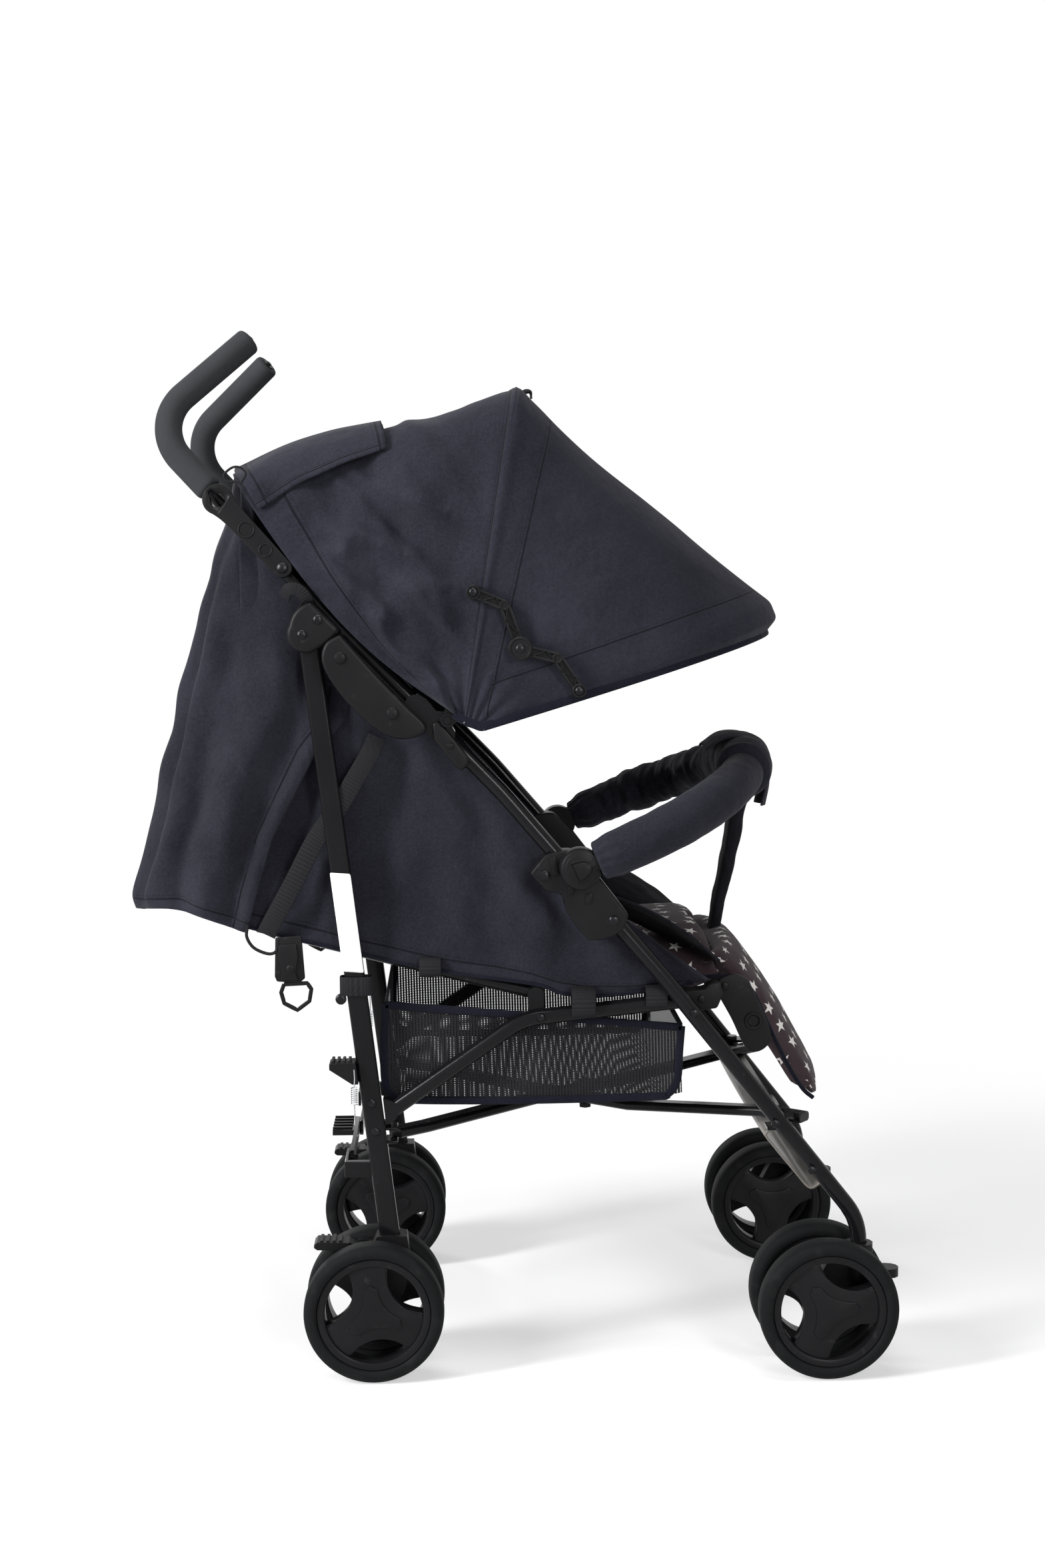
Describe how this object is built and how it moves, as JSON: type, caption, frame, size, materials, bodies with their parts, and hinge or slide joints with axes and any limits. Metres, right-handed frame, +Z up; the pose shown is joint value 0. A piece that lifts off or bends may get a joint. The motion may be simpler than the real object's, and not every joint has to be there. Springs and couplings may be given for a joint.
{
  "type": "baby stroller",
  "caption": "Umbrella-fold baby stroller with hooded reclining seat, padded bumper bar, mesh basket, twin swivelling front wheels and twin rear wheels.",
  "frame": {"origin": "centre of the footprint, on the floor under the open stroller", "axes": "+X forward in the direction of travel, +Y to the left of the child, +Z up"},
  "size_m": [0.782, 0.483, 1.0471],
  "materials": {
    "steel_tube": "semi-gloss black powder coat",
    "black_plastic": "fine-grained moulded black plastic",
    "tyre": "matte dark foam-rubber tread",
    "foam_grip": "matte closed-cell foam sleeve",
    "canopy_fabric": "plain-woven navy-charcoal polyester",
    "side_fabric": "plain-woven navy-charcoal polyester",
    "bumper_fabric": "gathered navy-charcoal polyester over foam",
    "seat_print": "plum-black woven print with small pale stars",
    "basket_mesh": "open black knitted mesh",
    "footrest_sheet": "grey coated sheet",
    "webbing": "black ribbed webbing",
    "piping": "dark navy bias binding",
    "zinc_steel": "zinc-plated steel",
    "blank_band": "plain white band with no print"
  },
  "bodies": {
    "centre": {"seat_pad": "seat_print", "seat_enclosure": "side_fabric", "mesh_basket": "basket_mesh", "canopy_cover": "canopy_fabric", "canopy_bow_middle": "black_plastic", "footrest_sheet": "footrest_sheet"},
    "right_frame": {"side_tube_right": "steel_tube", "handle_grip_right": "foam_grip", "rear_leg_right": "steel_tube", "upper_hinge_right": "black_plastic", "side_rail_right": "steel_tube", "bumper_bracket_right": "black_plastic", "rear_axle_housing_right": "black_plastic"},
    "left_frame": {"side_tube_left": "steel_tube", "handle_grip_left": "foam_grip", "rear_leg_left": "steel_tube", "upper_hinge_left": "black_plastic", "side_rail_left": "steel_tube", "bumper_bracket_left": "black_plastic", "rear_axle_housing_left": "black_plastic"},
    "cross_bar_upper": {"cross_bar_upper": "steel_tube"},
    "cross_bar_lower": {"cross_bar_lower": "steel_tube"},
    "right_rear_link": {"rear_link_right": "steel_tube"},
    "right_fork": {"front_fork_right": "black_plastic"},
    "right_front_outer_wheel": {"front_tyre_outer_right": "tyre", "front_hub_outer_right": "black_plastic"},
    "right_front_inner_wheel": {"front_tyre_inner_right": "tyre", "front_hub_inner_right": "black_plastic"},
    "right_rear_outer_wheel": {"rear_tyre_outer_right": "tyre", "rear_hub_outer_right": "black_plastic"},
    "right_rear_inner_wheel": {"rear_tyre_inner_right": "tyre", "rear_hub_inner_right": "black_plastic"},
    "right_brake_pedal": {"brake_pedal_right": "black_plastic"},
    "right_strut_rear": {"canopy_strut_rear_right": "black_plastic"},
    "right_strut_front": {"canopy_strut_front_right": "black_plastic"},
    "right_backrest_tube": {"backrest_tube_right": "steel_tube"},
    "right_bumper": {"bumper_hub_right": "black_plastic", "bumper_bar": "bumper_fabric"},
    "right_bumper_button": {"bumper_button_right": "black_plastic"},
    "left_rear_link": {"rear_link_left": "steel_tube"},
    "left_fork": {"front_fork_left": "black_plastic"},
    "left_front_outer_wheel": {"front_tyre_outer_left": "tyre", "front_hub_outer_left": "black_plastic"},
    "left_front_inner_wheel": {"front_tyre_inner_left": "tyre", "front_hub_inner_left": "black_plastic"},
    "left_rear_outer_wheel": {"rear_tyre_outer_left": "tyre", "rear_hub_outer_left": "black_plastic"},
    "left_rear_inner_wheel": {"rear_tyre_inner_left": "tyre", "rear_hub_inner_left": "black_plastic"},
    "left_brake_pedal": {"brake_pedal_left": "black_plastic"},
    "left_strut_rear": {"canopy_strut_rear_left": "black_plastic"},
    "left_strut_front": {"canopy_strut_front_left": "black_plastic"},
    "left_backrest_tube": {"backrest_tube_left": "steel_tube"},
    "left_bumper": {"bumper_hub_left": "black_plastic"},
    "left_bumper_button": {"bumper_button_left": "black_plastic"},
    "fold_lock_pedal": {"fold_lock_pedal": "black_plastic"},
    "carry_latch": {"carry_latch": "black_plastic"},
    "canopy_front": {"canopy_bow_front": "black_plastic"},
    "leg_rest": {"leg_rest": "seat_print"}
  },
  "joints": [
    {"name": "fold", "type": "slide", "parent": "centre", "child": "right_frame", "axis": [0, 1, 0], "range_m": [0, 0.088], "deforming": ["canopy_cover", "canopy_bow_middle", "canopy_bow_front", "seat_pad", "leg_rest", "mesh_basket", "seat_enclosure", "footrest_sheet", "bumper_bar"]},
    {"name": "fold_left_frame", "type": "slide", "parent": "centre", "child": "left_frame", "axis": [0, -1, 0], "range_m": [0, 0.088]},
    {"name": "fold_cross_bar_upper", "type": "hinge", "parent": "centre", "child": "cross_bar_upper", "pos_m": [0.085, 0, 0.246], "axis": [0, 0, 1], "range_deg": [-24, 0]},
    {"name": "fold_cross_bar_lower", "type": "hinge", "parent": "centre", "child": "cross_bar_lower", "pos_m": [0.085, 0, 0.235], "axis": [0, 0, 1], "range_deg": [0, 24]},
    {"name": "fold_right_rear_link", "type": "hinge", "parent": "right_frame", "child": "right_rear_link", "pos_m": [-0.163, -0.13, 0.206], "axis": [1, 0, 0], "range_deg": [0, 72]},
    {"name": "fold_left_rear_link", "type": "hinge", "parent": "left_frame", "child": "left_rear_link", "pos_m": [-0.1587, 0.13, 0.206], "axis": [-1, 0, 0], "range_deg": [0, 72]},
    {"name": "right_fork_swivel", "type": "hinge", "parent": "right_frame", "child": "right_fork", "pos_m": [0.35, -0.1845, 0.112], "axis": [0, 0, 1], "continuous": true},
    {"name": "right_front_outer_wheel_spin", "type": "hinge", "parent": "right_fork", "child": "right_front_outer_wheel", "pos_m": [0.314, -0.217, 0.07], "axis": [0, 1, 0], "continuous": true},
    {"name": "right_rear_outer_wheel_spin", "type": "hinge", "parent": "right_frame", "child": "right_rear_outer_wheel", "pos_m": [-0.139, -0.206, 0.07], "axis": [0, 1, 0], "continuous": true},
    {"name": "right_front_inner_wheel_spin", "type": "hinge", "parent": "right_fork", "child": "right_front_inner_wheel", "pos_m": [0.314, -0.152, 0.07], "axis": [0, 1, 0], "continuous": true},
    {"name": "right_rear_inner_wheel_spin", "type": "hinge", "parent": "right_frame", "child": "right_rear_inner_wheel", "pos_m": [-0.139, -0.149, 0.07], "axis": [0, 1, 0], "continuous": true},
    {"name": "right_brake_press", "type": "hinge", "parent": "right_frame", "child": "right_brake_pedal", "pos_m": [-0.153, -0.1775, 0.124], "axis": [0, -1, 0], "range_deg": [0, 15]},
    {"name": "left_fork_swivel", "type": "hinge", "parent": "left_frame", "child": "left_fork", "pos_m": [0.35, 0.1845, 0.112], "axis": [0, 0, 1], "continuous": true},
    {"name": "left_front_outer_wheel_spin", "type": "hinge", "parent": "left_fork", "child": "left_front_outer_wheel", "pos_m": [0.314, 0.217, 0.07], "axis": [0, 1, 0], "continuous": true},
    {"name": "left_rear_outer_wheel_spin", "type": "hinge", "parent": "left_frame", "child": "left_rear_outer_wheel", "pos_m": [-0.139, 0.206, 0.07], "axis": [0, 1, 0], "continuous": true},
    {"name": "left_front_inner_wheel_spin", "type": "hinge", "parent": "left_fork", "child": "left_front_inner_wheel", "pos_m": [0.314, 0.152, 0.07], "axis": [0, 1, 0], "continuous": true},
    {"name": "left_rear_inner_wheel_spin", "type": "hinge", "parent": "left_frame", "child": "left_rear_inner_wheel", "pos_m": [-0.139, 0.149, 0.07], "axis": [0, 1, 0], "continuous": true},
    {"name": "left_brake_press", "type": "hinge", "parent": "left_frame", "child": "left_brake_pedal", "pos_m": [-0.153, 0.1775, 0.124], "axis": [0, -1, 0], "range_deg": [0, 15]},
    {"name": "lock_pedal_lift", "type": "slide", "parent": "right_frame", "child": "fold_lock_pedal", "axis": [-0.1225, 0, 0.9925], "range_m": [0, 0.012], "stiffness_N_per_m": 600, "springref_m": -0.003},
    {"name": "latch_swing", "type": "hinge", "parent": "right_frame", "child": "carry_latch", "pos_m": [-0.22061, -0.18541, 0.80681], "axis": [-0.1149, -0.9858, 0.1221], "range_deg": [0, 90]},
    {"name": "canopy_front_raise", "type": "hinge", "parent": "centre", "child": "canopy_front", "pos_m": [-0.062, 0, 0.659], "axis": [0, -1, 0], "range_deg": [0, 48], "deforming": ["canopy_cover"]},
    {"name": "right_strut_rear_fold", "type": "hinge", "parent": "right_frame", "child": "right_strut_rear", "pos_m": [-0.036, -0.216, 0.783], "axis": [0, 1, 0], "range_deg": [0, 37]},
    {"name": "right_strut_front_fold", "type": "hinge", "parent": "right_strut_rear", "child": "right_strut_front", "pos_m": [0.009, -0.22, 0.7285], "axis": [0, -1, 0], "range_deg": [0, 137]},
    {"name": "left_strut_rear_fold", "type": "hinge", "parent": "left_frame", "child": "left_strut_rear", "pos_m": [-0.036, 0.216, 0.783], "axis": [0, 1, 0], "range_deg": [0, 37]},
    {"name": "left_strut_front_fold", "type": "hinge", "parent": "left_strut_rear", "child": "left_strut_front", "pos_m": [0.009, 0.22, 0.7285], "axis": [0, -1, 0], "range_deg": [0, 137]},
    {"name": "backrest_raise", "type": "hinge", "parent": "right_frame", "child": "right_backrest_tube", "pos_m": [0.025, -0.157, 0.381], "axis": [0, 1, 0], "range_deg": [0, 55], "deforming": ["seat_pad", "seat_enclosure"]},
    {"name": "backrest_raise_left", "type": "hinge", "parent": "left_frame", "child": "left_backrest_tube", "pos_m": [0.025, 0.157, 0.381], "axis": [0, 1, 0], "range_deg": [0, 55]},
    {"name": "leg_rest_raise", "type": "hinge", "parent": "centre", "child": "leg_rest", "pos_m": [0.218, 0, 0.384], "axis": [0, -1, 0], "range_deg": [0, 50]},
    {"name": "bumper_lower", "type": "hinge", "parent": "right_frame", "child": "right_bumper", "pos_m": [0.067, -0.216, 0.5145], "axis": [0, 1, 0], "range_deg": [0, 40], "deforming": ["bumper_bar"]},
    {"name": "bumper_lower_left", "type": "hinge", "parent": "left_frame", "child": "left_bumper", "pos_m": [0.067, 0.216, 0.5145], "axis": [0, 1, 0], "range_deg": [0, 40]},
    {"name": "right_bumper_button_press", "type": "slide", "parent": "right_bumper", "child": "right_bumper_button", "axis": [0, 1, 0], "range_m": [0, 0.003], "stiffness_N_per_m": 1500, "springref_m": -0.001},
    {"name": "left_bumper_button_press", "type": "slide", "parent": "left_bumper", "child": "left_bumper_button", "axis": [0, -1, 0], "range_m": [0, 0.003], "stiffness_N_per_m": 1500, "springref_m": -0.001}
  ],
  "couplings": [
    {"joint": "fold_left_frame", "follows": "fold", "ratio": 1},
    {"joint": "fold_cross_bar_upper", "follows": "fold", "rad_per_m": -4.712},
    {"joint": "fold_cross_bar_lower", "follows": "fold", "rad_per_m": 4.712},
    {"joint": "fold_right_rear_link", "follows": "fold", "rad_per_m": 14.1},
    {"joint": "fold_left_rear_link", "follows": "fold", "rad_per_m": 14.1},
    {"joint": "backrest_raise_left", "follows": "backrest_raise", "ratio": 1},
    {"joint": "bumper_lower_left", "follows": "bumper_lower", "ratio": 1},
    {"joint": "right_strut_rear_fold", "follows": "canopy_front_raise", "ratio": 0.736},
    {"joint": "right_strut_front_fold", "follows": "canopy_front_raise", "ratio": 2.726},
    {"joint": "left_strut_rear_fold", "follows": "canopy_front_raise", "ratio": 0.736},
    {"joint": "left_strut_front_fold", "follows": "canopy_front_raise", "ratio": 2.726}
  ]
}
